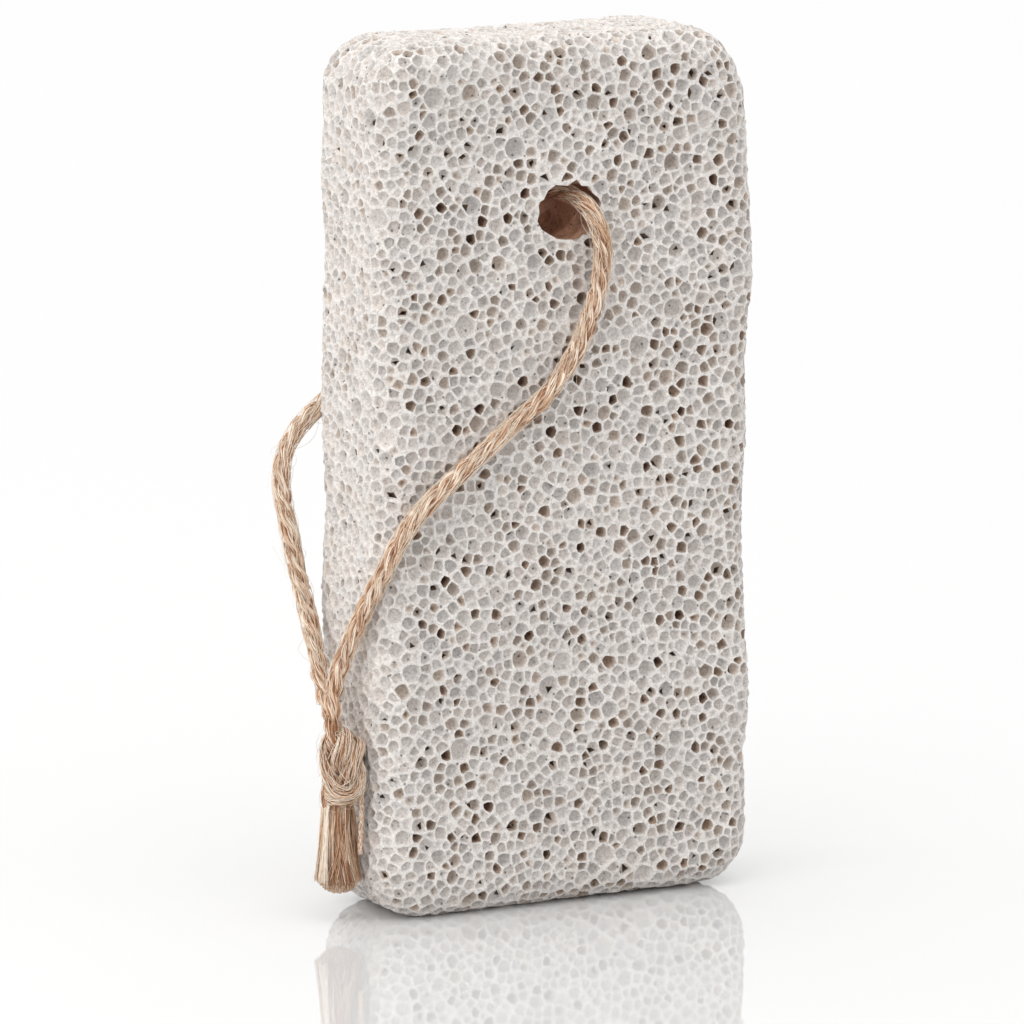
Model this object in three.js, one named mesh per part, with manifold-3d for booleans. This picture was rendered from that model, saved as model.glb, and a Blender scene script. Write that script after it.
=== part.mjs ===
// A pumice stone for the feet: an upright rounded bar of pumice with a hole
// drilled through it near the top, hung on a loop of jute twine that is knotted
// beside the stone and ends in a short frayed tassel.
//
// Millimetres. +Z is up, the stone's broad front face looks towards -Y, and the
// origin is the middle of the stone's flat bottom end.

import * as THREE from "three";
import { mergeVertices } from "three/addons/utils/BufferGeometryUtils.js";
import Module from "manifold-3d";

// ---------------------------------------------------------------- dimensions

const STONE_WIDTH = 48;
const STONE_THICKNESS = 18;
const STONE_HEIGHT = 100;

const LONG_EDGE_RADIUS = 3.8;
const TOP_LEFT_RADIUS = 7.5;
const TOP_RIGHT_RADIUS = 9.5;
const BOTTOM_RADIUS = 6.3;
const CORNER_SEGMENTS = 8;
const EDGE_SEGMENTS = 5;

const HOLE_DIAMETER = 7.2;
const HOLE_HEIGHT = 80.2;
const HOLE_SEGMENTS = 28;
const CUTTER_OVERRUN = 5;

const TWINE_DIAMETER = 2.1;
const TWINE_SIDES = 8;
const TWINE_STEPS = 78;

const KNOT_HALF_WIDTH = 2.25;
const KNOT_HALF_DEPTH = 2.7;
const KNOT_BOTTOM = 12.9;
const KNOT_TOP = 22.6;
const KNOT_FULLNESS = 4;
const KNOT_RINGS = 12;
const KNOT_SIDES = 20;

const TASSEL_TOP_RADIUS = 1.7;
const TASSEL_BOTTOM_RADIUS = 2.7;
const TASSEL_BOTTOM = 3.1;
const TASSEL_SIDES = 20;

const PIECE_GAP = 0.3;

// The knot and the tassel hang beside the stone's left side, near its front.
const KNOT_PLACE = { x: -26.8, y: -4.0 };
const TASSEL_PLACE = { x: -27.0, y: -3.6 };

// Middle line of the free twine: from the top of the knot, round the stone's
// front left edge and up the front, through the hole, then down the back, round
// the back left edge and in to the knot again.
const TWINE_ROUTE = [
  [-27.8, -3.8, 22.9],
  [-27.3, -3.0, 26.2],
  [-26.3, -4.2, 31.0],
  [-25.1, -7.0, 36.6],
  [-23.4, -9.4, 42.0],
  [-20.7, -10.4, 46.8],
  [-15.9, -10.5, 50.9],
  [-11.5, -10.5, 54.2],
  [-7.4, -10.5, 57.2],
  [-3.7, -10.5, 60.0],
  [-0.7, -10.5, 63.8],
  [1.4, -10.5, 68.0],
  [2.7, -10.6, 72.4],
  [3.0, -10.8, 75.6],
  [2.7, -10.5, 78.2],
  [2.2, -9.0, 80.3],
  [1.6, -6.0, 81.6],
  [0.9, -2.0, 82.0],
  [0.0, 2.2, 82.0],
  [-0.8, 6.2, 81.6],
  [-1.7, 9.2, 79.8],
  [-2.9, 10.7, 76.6],
  [-5.6, 10.6, 71.8],
  [-10.6, 10.5, 66.4],
  [-16.4, 10.5, 61.4],
  [-21.6, 10.4, 57.4],
  [-25.4, 9.9, 54.4],
  [-27.6, 9.2, 51.2],
  [-28.0, 8.6, 47.4],
  [-27.4, 8.0, 43.2],
  [-26.8, 7.4, 39.0],
  [-26.3, 6.2, 35.0],
  [-26.2, 4.2, 31.0],
  [-26.6, 1.6, 26.8],
  [-26.8, -1.4, 22.9],
];

// ----------------------------------------------------------------- materials

const pumice = new THREE.MeshStandardMaterial({
  color: 0xd8d4cf,
  roughness: 0.95,
  metalness: 0,
});

const jute = new THREE.MeshStandardMaterial({
  color: 0xcda67c,
  roughness: 0.9,
  metalness: 0,
});

// ------------------------------------------------------------------- helpers

const wasm = await Module();
wasm.setup();

// A closed geometry as a manifold solid, by its shared corner positions alone.
function toSolid(geometry) {
  const bare = geometry.clone();
  bare.deleteAttribute("normal");
  bare.deleteAttribute("uv");
  const merged = mergeVertices(bare, 1e-4);
  return new wasm.Manifold(new wasm.Mesh({
    numProp: 3,
    vertProperties: Float32Array.from(merged.attributes.position.array),
    triVerts: Uint32Array.from(merged.index.array),
  }));
}

function toGeometry(solid) {
  const mesh = solid.getMesh();
  const geometry = new THREE.BufferGeometry();
  geometry.setAttribute("position", new THREE.BufferAttribute(mesh.vertProperties, 3));
  geometry.setIndex(new THREE.BufferAttribute(mesh.triVerts, 1));
  return geometry;
}

function part(name, geometry, material) {
  const mesh = new THREE.Mesh(geometry, material);
  mesh.name = name;
  return mesh;
}

// --------------------------------------------------------------------- stone

// The front outline, drawn smaller by the edge radius: the bevel grows it back
// to full size and rounds every edge between the faces and the sides.
function stoneOutline() {
  const half = STONE_WIDTH / 2 - LONG_EDGE_RADIUS;
  const low = LONG_EDGE_RADIUS;
  const high = STONE_HEIGHT - LONG_EDGE_RADIUS;
  const bottom = BOTTOM_RADIUS - LONG_EDGE_RADIUS;
  const topRight = TOP_RIGHT_RADIUS - LONG_EDGE_RADIUS;
  const topLeft = TOP_LEFT_RADIUS - LONG_EDGE_RADIUS;
  const quarter = Math.PI / 2;
  const outline = new THREE.Shape();
  outline.moveTo(-half + bottom, low);
  outline.lineTo(half - bottom, low);
  outline.absarc(half - bottom, low + bottom, bottom, -quarter, 0, false);
  outline.absarc(half - topRight, high - topRight, topRight, 0, quarter, false);
  outline.absarc(-half + topLeft, high - topLeft, topLeft, quarter, 2 * quarter, false);
  outline.absarc(-half + bottom, low + bottom, bottom, 2 * quarter, 3 * quarter, false);
  return outline;
}

function stoneBar() {
  const depth = STONE_THICKNESS - 2 * LONG_EDGE_RADIUS;
  const bar = new THREE.ExtrudeGeometry(stoneOutline(), {
    depth,
    curveSegments: CORNER_SEGMENTS,
    bevelEnabled: true,
    bevelThickness: LONG_EDGE_RADIUS,
    bevelSize: LONG_EDGE_RADIUS,
    bevelSegments: EDGE_SEGMENTS,
  });
  bar.translate(0, 0, -depth / 2);
  bar.rotateX(Math.PI / 2);
  return bar;
}

function holeCutter() {
  const length = STONE_THICKNESS + 2 * CUTTER_OVERRUN;
  const radius = HOLE_DIAMETER / 2;
  const cutter = new THREE.CylinderGeometry(radius, radius, length, HOLE_SEGMENTS);
  cutter.translate(0, 0, HOLE_HEIGHT);
  return cutter;
}

function stone() {
  const drilled = toSolid(stoneBar()).subtract(toSolid(holeCutter()));
  return part("stone", toGeometry(drilled), pumice);
}

// --------------------------------------------------------------------- twine

function twineLoop() {
  const points = TWINE_ROUTE.map(([x, y, z]) => new THREE.Vector3(x, y, z));
  const section = new THREE.Shape();
  for (let side = 0; side < TWINE_SIDES; side += 1) {
    const angle = (2 * Math.PI * side) / TWINE_SIDES;
    const x = (TWINE_DIAMETER / 2) * Math.cos(angle);
    const y = (TWINE_DIAMETER / 2) * Math.sin(angle);
    if (side === 0) {
      section.moveTo(x, y);
    } else {
      section.lineTo(x, y);
    }
  }
  section.closePath();
  const tube = new THREE.ExtrudeGeometry(section, {
    steps: TWINE_STEPS,
    extrudePath: new THREE.CatmullRomCurve3(points, false, "centripetal"),
  });
  return part("twine_loop", tube, jute);
}

// A plain rounded barrel the size of the knot, deeper along the stone's side
// than it is wide.
function knot() {
  const halfHeight = (KNOT_TOP - KNOT_BOTTOM) / 2;
  const profile = [];
  for (let ring = 0; ring <= KNOT_RINGS; ring += 1) {
    const level = (2 * ring) / KNOT_RINGS - 1;
    const radius = (1 - Math.abs(level) ** KNOT_FULLNESS) ** (1 / KNOT_FULLNESS);
    profile.push(new THREE.Vector2(radius, halfHeight * level));
  }
  const body = new THREE.LatheGeometry(profile, KNOT_SIDES);
  body.rotateX(Math.PI / 2);
  body.scale(KNOT_HALF_WIDTH, KNOT_HALF_DEPTH, 1);
  const mesh = part("knot", body, jute);
  mesh.position.set(KNOT_PLACE.x, KNOT_PLACE.y, KNOT_BOTTOM + halfHeight);
  return mesh;
}

// A flared plug the size of the frayed ends, cut off level at the bottom.
function tassel() {
  const height = KNOT_BOTTOM - PIECE_GAP - TASSEL_BOTTOM;
  const profile = [
    new THREE.Vector2(0, 0),
    new THREE.Vector2(TASSEL_BOTTOM_RADIUS, 0),
    new THREE.Vector2(TASSEL_BOTTOM_RADIUS, height * 0.25),
    new THREE.Vector2(TASSEL_TOP_RADIUS, height * 0.8),
    new THREE.Vector2(TASSEL_TOP_RADIUS, height),
    new THREE.Vector2(0, height),
  ];
  const body = new THREE.LatheGeometry(profile, TASSEL_SIDES);
  body.rotateX(Math.PI / 2);
  const mesh = part("tassel", body, jute);
  mesh.position.set(TASSEL_PLACE.x, TASSEL_PLACE.y, TASSEL_BOTTOM);
  return mesh;
}

// -------------------------------------------------------------------- object

const pumiceStone = new THREE.Group();
pumiceStone.add(stone(), twineLoop(), knot(), tassel());

export default pumiceStone;
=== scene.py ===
"""A pumice stone on a loop of jute twine, standing on a pale studio floor.

The stone is one closed mesh whose surface is broken into several thousand open
pores. The twine is laid up from three plies of fine fibres; it is knotted
beside the stone and ends in a short frayed tassel. The stone and the twine are
worked out in millimetres and turned into metres when a mesh is made; the camera,
the lights and the floor are in metres.
"""

import itertools
import math

import bpy
import numpy as np
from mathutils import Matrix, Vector
from mathutils.geometry import delaunay_2d_cdt

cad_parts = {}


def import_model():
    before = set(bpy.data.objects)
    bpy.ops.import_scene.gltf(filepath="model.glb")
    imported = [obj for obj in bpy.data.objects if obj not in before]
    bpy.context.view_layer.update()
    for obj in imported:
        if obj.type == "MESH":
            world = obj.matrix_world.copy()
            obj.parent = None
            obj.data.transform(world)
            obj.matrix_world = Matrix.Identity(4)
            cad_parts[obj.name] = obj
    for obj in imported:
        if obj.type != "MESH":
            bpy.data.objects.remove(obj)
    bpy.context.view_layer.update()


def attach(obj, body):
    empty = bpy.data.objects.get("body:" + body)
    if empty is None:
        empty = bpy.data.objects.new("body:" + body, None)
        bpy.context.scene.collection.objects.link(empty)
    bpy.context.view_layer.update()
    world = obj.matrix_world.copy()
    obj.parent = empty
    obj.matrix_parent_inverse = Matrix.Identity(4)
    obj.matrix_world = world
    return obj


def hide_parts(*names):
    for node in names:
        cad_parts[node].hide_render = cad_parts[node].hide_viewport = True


MM = 0.001
GOLDEN_ANGLE = 2.39996
ALL_ROUND = (0.0, 6.3)
FAR = 9.0

# ---- the stone

WIDTH = 48.0
THICKNESS = 18.0
HEIGHT = 100.0
LONG_EDGE_RADIUS = 3.8
TOP_LEFT_RADIUS = 6.4
TOP_RIGHT_RADIUS = 8.7
BOTTOM_RADIUS = 6.3

HOLE_RADIUS = 3.55
HOLE_HEIGHT = 80.2

TRIAL_POINTS = 900000
# How far off the bar a trial point may start; the side of the cubes discs are filed in.
SKIN = 0.7
DISC_CUBE = 2.0
PORE_SIZES = ((40, 0.95, 1.3), (500, 0.76, 0.95), (1900, 0.56, 0.76))
SMALLEST_PORE = 0.43
LARGEST_FILLER = 0.56
MOST_FLIPS = 200000
SHORTEST_WALL = 0.3
LONG_WALL = 0.92
NODE_JITTER = 0.07
RIM_RISE = 0.07
WALL_SAG = (-0.12, 0.03)
MIDDLE_PULL = (0.03, 0.10)
CORNER_PULL = (0.07, 0.16)
MOUTH_PULL = (0.0, 0.62)
MOST_MIDDLE_PULL = 0.4
MOST_CORNER_PULL = 0.42
ROUNDING = 0.48
ROUND_SIZE = 1.03
CONE_SIZE = 0.50
FLAT_SIZE = 0.75
PALE_LEFT_STARTS = 19.5
PALE_BLEND = 4.0
TOP_PALENESS = 0.9
PALE_PORES = 0.22
PALE_SHADE = 0.12

FLOOR = -1
DEEP = -2
NO_TINT = (-1.0, -1.0, -1.0)

SHAFT_SHARE = 0.24
SHAFT_DEPTH = (0.7, 1.3)
# The shaft's bottom and sides are painted near-black: painted shade in a deep narrow hole.
SHAFT_PAINTED_SHADE = np.array([0.045, 0.03, 0.022])
SHAFT_EDGE_PAINTED_SHADE = np.array([0.14, 0.095, 0.068])

RIM_COLOUR = np.array([0.765, 0.728, 0.695])
RIM_SHADE = (0.9, 1.06)
PORE_SHADE = (0.9, 1.1)
PORE_WARMTH = (-0.012, 0.02)
# Side, edge and floor colours of each kind of pore; the darkening from side to floor is painted shade.
GREY_PORE = np.array([(0.70, 0.66, 0.63), (0.59, 0.553, 0.527), (0.55, 0.515, 0.488)])
BEIGE_PORE = np.array([(0.66, 0.60, 0.55), (0.50, 0.435, 0.385), (0.43, 0.365, 0.315)])
TAN_PORE = np.array([(0.56, 0.475, 0.405), (0.34, 0.255, 0.20), (0.27, 0.19, 0.14)])
BROWN_PORE = np.array([(0.42, 0.32, 0.25), (0.17, 0.105, 0.073), (0.10, 0.06, 0.042)])

# Each kind of pore: the chance below which it is chosen, its depth, how far its
# side slopes in, how much deeper its middle is, and its side, edge and floor
# colours: partly the pore's own tint and partly painted shade, darker from side
# to floor and darker still in the deeper kinds.
PORE_KINDS = (
    (0.66, (0.38, 0.72), (0.2, 0.32), 1.2, GREY_PORE),
    (0.84, (0.6, 0.95), (0.2, 0.32), 1.2, BEIGE_PORE),
    (0.935, (0.85, 1.15), (0.18, 0.3), 1.25, TAN_PORE),
    (math.inf, (1.1, 1.6), (0.1, 0.3), 1.3, BROWN_PORE),
)
CROWDED = 0.88
DARK_FLOOR = 0.33

BORE_SIDES = 44
BORE_RINGS = 24
BORE_INSET = 0.7
BORE_NARROWER = 0.2
BORE_ROUGHNESS = 0.06
BORE_PITS = 150
PIT_RADIUS = 0.85
PIT_DEPTH = 0.75
# Painted shade: how much darker a pit in the bore is painted.
PIT_PAINTED_SHADE = 0.45
# The bore's brown is painted shade with warm bounced light: darker at the mouths, painted lighter deep
# inside.
DEEP_BORE_PAINTED_LIGHT = np.array([0.80, 0.47, 0.32])
MOUTH_PAINTED_SHADE = np.array([0.48, 0.30, 0.205])
MOUTH_REACH = 9.0
MOUTH_BREAK = (0.95, 0.25)

WAVES = 8
WAVE_LENGTH = (12.0, 40.0)
WAVE_HEIGHT = 0.07
RIGHT_SIDE_STARTS = 19.0
RIGHT_SIDE_BLEND = 4.0
RIGHT_SIDE_SWELLS = ((-0.42, 96.0, 4.0), (0.45, 70.0, 14.0), (-0.35, 42.0, 8.0), (0.45, 21.0, 7.0))
STONE_SEED = 11

# ---- the twine

TWINE_DIAMETER = 2.1
TWINE_ROUTE = (
    (-27.8, -3.8, 22.9), (-27.3, -3.0, 26.2), (-26.3, -4.2, 31.0),
    (-25.1, -7.0, 36.6), (-23.4, -9.4, 42.0), (-20.7, -10.4, 46.8),
    (-15.9, -10.5, 50.9), (-11.5, -10.5, 54.2), (-7.4, -10.5, 57.2),
    (-3.7, -10.5, 60.0), (-0.7, -10.5, 63.8), (1.4, -10.5, 68.0),
    (2.7, -10.6, 72.4), (3.0, -10.8, 75.6), (2.7, -10.5, 78.2),
    (2.2, -9.0, 80.3), (1.6, -6.0, 81.6), (0.9, -2.0, 82.0),
    (0.0, 2.2, 82.0), (-0.8, 6.2, 81.6), (-1.7, 9.2, 79.8),
    (-2.9, 10.7, 76.6), (-5.6, 10.6, 71.8), (-10.6, 10.5, 66.4),
    (-16.4, 10.5, 61.4), (-21.6, 10.4, 57.4), (-25.4, 9.9, 54.4),
    (-27.6, 9.2, 51.2), (-28.0, 8.6, 47.4), (-27.4, 8.0, 43.2),
    (-26.8, 7.4, 39.0), (-26.3, 6.2, 35.0), (-26.2, 4.2, 31.0),
    (-26.6, 1.6, 26.8), (-26.8, -1.4, 22.9),
)
# Where each leg leaves the hole, in metres.
TWINE_MOUTHS = {"twine_front": (0.002, -0.009, 0.0805), "twine_back": (-0.0017, 0.009, 0.0798)}
TWINE_STEP = 0.5
PLY_COUNT = 3
PLY_PITCH = 7.5
PLY_OFFSET = 0.258
PLY_RADIUS = 0.242
CORE_SHARE = 0.86
FIBRES_OUT = 0.80
FIBRES_PER_PLY = 17
FIBRE_RADIUS = 0.092
FIBRE_TURN = -0.35
STRAYS_ON_KNOT = 110
STRAY_THICK = (0.025, 0.05)
STRAY_TONE = (0.15, 1.0)
CROSSING_FIBRES = 200
CROSSING_LENGTH = (3.0, 9.0)
CROSSING_THICK = (0.03, 0.055)
CROSSING_TONE = (0.35, 1.15)
WRAP_FIBRES = 190
WRAP_HEIGHT = 14.55
WRAP_RADIUS = 2.0
WRAP_FACING = math.radians(242)
WRAP_RISE = 0.7
WRAP_THICK = (0.028, 0.06)
WRAP_TONE = (0.35, 1.1)
LOOSE_PLY_FIBRES = 16
LOOSE_PLY_THICK = (0.04, 0.065)
LOOSE_PLY = ((-24.95, -5.5, 16.2), (-25.25, -5.9, 13.4), (-25.35, -6.0, 10.6), (-25.45, -5.9, 7.9))
HAIRS_PER_LEG = 120
HAIRS_ON_KNOT = 50
HAIR_LENGTH = (1.8, 6.5)
HAIR_RADIUS = 0.022
HAIR_LIFT = 1.3
HAIR_TONE = (0.6, 1.0)
JUTE_DARK = (0.33, 0.155, 0.078)
JUTE_MIDDLE = (0.73, 0.515, 0.355)
JUTE_PALE = (0.92, 0.82, 0.70)
DRIFT_WAVES = ((2.5, 5.0), (6.0, 12.0))
TWINE_SEED = 5

# ---- the knot and the tassel

KNOT_SPREAD = (1.7, 1.1, 0.42)
KNOT_REACH = 2.15
KNOT_STEP = 0.5
KNOT_CENTRE = np.array([-26.75, -4.0, 17.75])
KNOT_HALF = np.array([2.3, 2.8, 4.85])
KNOT_STRAND = 1.5
KNOT_DRAWN = 1.72
KNOT_STRETCH = 1.25
KNOT_ROUNDS = 1500
KNOT_STAGES = 6
STAGE_ROUNDS = 150
# How hard a strand is straightened and pushed off the others, and how far along itself
# it has to be before it counts as another.
KNOT_PULL = 0.22
KNOT_PUSH = 0.25
FARTHEST_PUSH = 0.5
OWN_REACH = 1.6
# How far past the knot its barrel shape still holds, and how hard.
BARREL_ENDS = 1.15
BARREL_EASE = 0.3
KNOT_TAIL_HEIGHT = 12.2
# Painted shade: how much darker the strands are painted inside the knot, and over how many steps it
# comes in.
KNOT_PAINTED_SHADE = 0.66
DARKER_OVER = 8
KNOT_TAILS = ((-27.5, -3.6), (-26.5, -3.6))
TASSEL_PLACE = np.array([-27.0, -3.6])
TASSEL_ROOT = 14.6
TASSEL_CUT = 3.1
TASSEL_TOP = 1.75
TASSEL_SPREAD = 2.6
TASSEL_LOCKS = 26
FIBRES_PER_LOCK = 44
LOCK_POINTS = 12
TASSEL_THICK = (0.032, 0.07)
TASSEL_ARCH = 1.5
# Painted light: the side toward the camera's left, where the key light falls, and how much paler locks
# there are painted.
LIT_SIDE = (-0.89, 0.46)
LIT_SIDE_PAINTED_LIGHT = 0.95

# ---- the camera

VIEW_AZIMUTH = math.radians(-27.5)
VIEW_ELEVATION = math.radians(10.1)
VIEW_DISTANCE = 1.056
VIEW_CENTRE = Vector((0.0, 0.0, 0.050))
AIM_LEFT = 0.00262
AIM_DOWN = 0.00561
SENSOR = 36.0
FOCAL_LENGTH = 324.7

# ---- the studio

LIGHTS_AIM = (0.0, 0.0, 0.05)
KEY_LIGHT = {"place": (-0.8, -0.2, 0.5), "side": 1.2, "power": 3.6, "tint": (1.0, 0.985, 0.965)}
TOP_LIGHT = {"place": (-0.1, -0.25, 0.9), "side": 0.5, "power": 0.8, "tint": (1.0, 1.0, 1.0)}
WORLD_STRENGTH = 1.12
FLOOR_SIDE = 6.0
FLOOR_GREY = 0.72
FLOOR_ROUGHNESS = 0.03
FLOOR_SPECULAR = 0.65


# ---- helpers

def unit(vectors):
    """Each row of an array, made one unit long."""
    return vectors / np.maximum(np.linalg.norm(vectors, axis=-1, keepdims=True), 1e-12)


class Soup:
    """Corners, triangles and one tone a corner, gathered before they become a mesh."""

    def __init__(self):
        self.points = []
        self.triangles = []
        self.tones = []
        self.count = 0

    def add(self, points, triangles, tones):
        self.points.append(points)
        self.triangles.append(triangles + self.count)
        self.tones.append(np.broadcast_to(tones, len(points)))
        self.count += len(points)

    def tube(self, line, guide, radius, sides, tones):
        points, triangles = sweep(line, guide, radius, sides)
        self.add(points, triangles, np.repeat(np.broadcast_to(tones, len(line)), sides))

    def piece(self, name, material):
        points = np.concatenate(self.points)
        triangles = np.concatenate(self.triangles)
        made = mesh_piece(name, points, triangles, material)
        tones = made.data.attributes.new("tone", "FLOAT", "POINT")
        tones.data.foreach_set("value", np.concatenate(self.tones).astype(np.float32))
        return made


def new_object(name, data):
    made = bpy.data.objects.new(name, data)
    bpy.context.scene.collection.objects.link(made)
    return made


def mesh_piece(name, points, triangles, material):
    """A smooth-shaded mesh object from corners in millimetres."""
    mesh = bpy.data.meshes.new(name)
    mesh.from_pydata((points * MM).tolist(), [], triangles.tolist())
    mesh.polygons.foreach_set("use_smooth", np.ones(len(mesh.polygons), bool))
    mesh.materials.append(material)
    mesh.update()
    return new_object(name, mesh)


# ---- camera, light, floor

def stand(name, data, place, heading):
    """A camera or a lamp at a place, turned to face its heading."""
    made = new_object(name, data)
    made.location = place
    made.rotation_mode = "QUATERNION"
    made.rotation_quaternion = heading.to_track_quat("-Z", "Y")
    return made


def make_camera():
    back = Vector((
        math.sin(VIEW_AZIMUTH) * math.cos(VIEW_ELEVATION),
        -math.cos(VIEW_AZIMUTH) * math.cos(VIEW_ELEVATION),
        math.sin(VIEW_ELEVATION),
    ))
    right = Vector((math.cos(VIEW_AZIMUTH), math.sin(VIEW_AZIMUTH), 0.0))
    up = back.cross(right)
    aim = VIEW_CENTRE - AIM_LEFT * right - AIM_DOWN * up
    data = bpy.data.cameras.new("camera")
    data.sensor_width = SENSOR
    data.lens = FOCAL_LENGTH
    data.clip_start = 0.05
    data.clip_end = 20.0
    bpy.context.scene.camera = stand("camera", data, aim + back * VIEW_DISTANCE, -back)


def soft_light(name, place, side, power, tint):
    data = bpy.data.lights.new(name, "AREA")
    data.shape = "RECTANGLE"
    data.size = side
    data.size_y = side
    data.energy = power
    data.color = tint
    stand(name, data, place, Vector(LIGHTS_AIM) - Vector(place))


def make_lights():
    soft_light("key", **KEY_LIGHT)
    soft_light("top", **TOP_LIGHT)


def make_world():
    world = bpy.data.worlds.new("studio")
    world.use_nodes = True
    background = world.node_tree.nodes["Background"]
    background.inputs["Color"].default_value = (1.0, 1.0, 1.0, 1.0)
    background.inputs["Strength"].default_value = WORLD_STRENGTH
    bpy.context.scene.world = world
    bpy.context.scene.view_settings.view_transform = "Standard"


def floor_material():
    material, _, shader = new_material("floor", FLOOR_ROUGHNESS, FLOOR_SPECULAR)
    shader.inputs["Base Color"].default_value = (FLOOR_GREY, FLOOR_GREY, FLOOR_GREY, 1.0)
    return material


def make_floor():
    bpy.ops.mesh.primitive_plane_add(size=FLOOR_SIDE, location=(0.0, 0.0, 0.0))
    floor = bpy.context.object
    floor.name = "floor"
    floor.data.materials.append(floor_material())


# ---- materials

def node(tree, kind, *sockets, **values):
    """A shader node: a value that is a socket is linked to its input, any other is set."""
    made = tree.nodes.new(kind)
    for name, value in [*values.items(), *enumerate(sockets)]:
        if isinstance(value, bpy.types.NodeSocket):
            tree.links.new(value, made.inputs[name])
        elif isinstance(name, int) or name in made.inputs:
            made.inputs[name].default_value = value
        else:
            setattr(made, name, value)
    return made


def new_material(name, roughness, specular):
    material = bpy.data.materials.new(name)
    material.use_nodes = True
    shader = material.node_tree.nodes["Principled BSDF"]
    shader.inputs["Roughness"].default_value = roughness
    shader.inputs["Specular IOR Level"].default_value = specular
    return material, material.node_tree, shader


def colour_and_bump(tree, shader, colour, height, strength, distance):
    bump = node(tree, "ShaderNodeBump", Strength=strength, Distance=distance, Height=height)
    tree.links.new(colour, shader.inputs["Base Color"])
    tree.links.new(bump.outputs["Normal"], shader.inputs["Normal"])


def jute_material():
    """Pale straw to brown by each fibre's tone, with a fine streaky grain."""
    material, tree, shader = new_material("jute", 0.72, 0.3)
    tone = node(tree, "ShaderNodeAttribute", attribute_name="tone").outputs["Fac"]
    place = node(tree, "ShaderNodeTexCoord").outputs["Object"]
    grain = node(tree, "ShaderNodeTexNoise", Vector=place, Scale=2600.0, Detail=3.0).outputs["Fac"]
    shift = node(tree, "ShaderNodeMath", tone, 0.25, operation="SUBTRACT").outputs[0]
    mix = node(tree, "ShaderNodeMath", grain, 0.5, shift, operation="MULTIPLY_ADD").outputs[0]
    ramp = node(tree, "ShaderNodeValToRGB", mix)
    ramp.color_ramp.elements[0].color = (*JUTE_DARK, 1.0)
    ramp.color_ramp.elements[1].color = (*JUTE_PALE, 1.0)
    ramp.color_ramp.elements.new(0.5).color = (*JUTE_MIDDLE, 1.0)
    colour_and_bump(tree, shader, ramp.outputs["Color"], grain, 0.35, 0.00006)
    return material


def pumice_material():
    """The colour of each pore, broken up by a fine mineral grain, specks, and painted shade for
    pinholes: dark dots with no hole under them.
    """
    material, tree, shader = new_material("pumice", 0.93, 0.25)
    colour = node(tree, "ShaderNodeAttribute", attribute_name="pore_colour").outputs["Color"]
    place = node(tree, "ShaderNodeTexCoord").outputs["Object"]
    noise = "ShaderNodeTexNoise"
    grain = node(tree, noise, Vector=place, Scale=4200.0, Detail=3.0, Roughness=0.6)
    specks = node(tree, noise, Vector=place, Scale=2300.0, Detail=2.0, Roughness=0.5)
    # Painted shade: dark dots where tiny holes would lie in shade; the mesh has no hole there.
    pinhole_shade = node(tree, "ShaderNodeTexVoronoi", Vector=place, Scale=750.0)
    light = spread(tree, grain.outputs["Fac"], (0.3, 0.7), (0.79, 1.14))
    dark = spread(tree, specks.outputs["Fac"], (0.36, 0.47), (0.8, 1.0))
    hole = spread(tree, pinhole_shade.outputs["Distance"], (0.07, 0.16), (0.3, 1.0))
    marks = node(tree, "ShaderNodeMath", dark, hole, operation="MULTIPLY").outputs[0]
    both = node(tree, "ShaderNodeMath", light, marks, operation="MULTIPLY").outputs[0]
    tinted = node(tree, "ShaderNodeVectorMath", colour, operation="SCALE", Scale=both)
    colour_and_bump(tree, shader, tinted.outputs["Vector"], both, 0.6, 0.00012)
    return material


def spread(tree, value, before, after):
    """Maps a value from one range to another, held at both ends."""
    return node(tree, "ShaderNodeMapRange", value, *before, *after).outputs["Result"]


# ---- lines and tubes

def curve_through(points, step):
    """A smooth line through the points, in equal steps."""
    points = np.array(points, float)
    before = 2 * points[0] - points[1]
    after = 2 * points[-1] - points[-2]
    run = np.vstack([before, points, after])
    gaps = np.sqrt(np.linalg.norm(np.diff(run, axis=0), axis=1))
    share = np.linspace(0, 1, 40, endpoint=False)[:, None]
    dense = []
    for k in range(1, len(run) - 2):
        p0, p1, p2, p3 = run[k - 1:k + 3]
        d0, d1, d2 = gaps[k - 1:k + 2]
        leaving = ((p1 - p0) / d0 - (p2 - p0) / (d0 + d1) + (p2 - p1) / d1) * d1
        arriving = ((p2 - p1) / d1 - (p3 - p1) / (d1 + d2) + (p3 - p2) / d2) * d1
        cubic = 2 * (p1 - p2) + leaving + arriving
        square = 3 * (p2 - p1) - 2 * leaving - arriving
        dense.append(((cubic * share + square) * share + leaving) * share + p1)
    dense.append(points[-1:])
    return even_steps(np.vstack(dense), step)


def lengths_along(line):
    return np.r_[0.0, np.cumsum(np.linalg.norm(np.diff(line, axis=0), axis=1))]


def even_steps(line, step):
    reach = lengths_along(line)
    count = max(int(round(reach[-1] / step)), 2)
    at = np.linspace(0, reach[-1], count + 1)
    return np.stack([np.interp(at, reach, line[:, k]) for k in range(3)], axis=1)


def frames_along(line):
    """Directions along, and two across, that turn no more than the line makes them."""
    along = unit(np.gradient(line, axis=0))
    first = np.empty_like(line)
    guess = np.array([0.0, 1.0, 0.0])
    for k, direction in enumerate(along):
        guess = guess - guess.dot(direction) * direction
        guess /= np.linalg.norm(guess)
        first[k] = guess
    return along, first, np.cross(along, first)


# ---- the knot

def slack_knot():
    """The middle line of a loose overhand knot, its free ends up and down."""
    t = np.linspace(-KNOT_REACH, KNOT_REACH, 240)
    x = t ** 3 - 3 * t
    y = t ** 4 - 4 * t ** 2
    z = t ** 5 - 10 * t
    return np.c_[x * KNOT_SPREAD[0], y * KNOT_SPREAD[1], z * KNOT_SPREAD[2]]


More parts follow.
